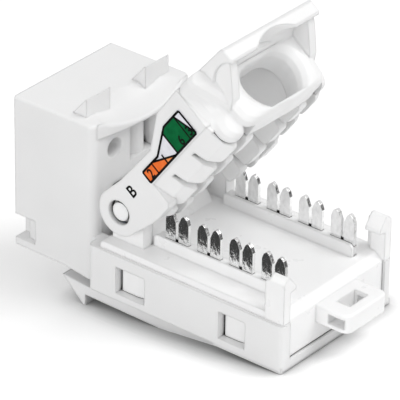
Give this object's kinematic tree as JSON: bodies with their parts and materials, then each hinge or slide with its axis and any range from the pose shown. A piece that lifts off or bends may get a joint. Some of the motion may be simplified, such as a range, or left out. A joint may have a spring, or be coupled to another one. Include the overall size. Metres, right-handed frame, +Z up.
{
  "type": "keystone jack",
  "caption": "Toolless RJ45 keystone jack: panel-snap nose with port, wire tray with forked displacement contacts, hinged wire cap standing open, cable tie loop.",
  "frame": {"origin": "middle of the port face at the front of the nose", "axes": "+Y from the port to the cable end, +Z up through the fixed catches, +X the side with the scheme B label"},
  "size_m": [0.0168, 0.0373, 0.0331],
  "materials": {
    "white_plastic": "satin moulded",
    "tinned_metal": "tin plated",
    "gold_plate": "gold plated",
    "board": "solder mask",
    "label": "printed"
  },
  "bodies": {
    "base": {"housing": "white_plastic", "carrier": "white_plastic", "circuit_board": "board", "contact_insert": "white_plastic", "idc_contact_1": "tinned_metal", "idc_contact_2": "tinned_metal", "idc_contact_3": "tinned_metal", "idc_contact_4": "tinned_metal", "idc_contact_5": "tinned_metal", "idc_contact_6": "tinned_metal", "idc_contact_7": "tinned_metal", "idc_contact_8": "tinned_metal", "jack_contact_1": "gold_plate", "jack_contact_2": "gold_plate", "jack_contact_3": "gold_plate", "jack_contact_4": "gold_plate", "jack_contact_5": "gold_plate", "jack_contact_6": "gold_plate", "jack_contact_7": "gold_plate", "jack_contact_8": "gold_plate"},
    "cap": {"lid": "white_plastic", "scheme_label_b": "label", "scheme_label_a": "label"}
  },
  "joints": [
    {"name": "lid_hinge", "type": "hinge", "parent": "base", "child": "cap", "pos_m": [0, 0.01388, 0.00093], "axis": [1, 0, 0], "range_deg": [-53.3, 27]}
  ]
}
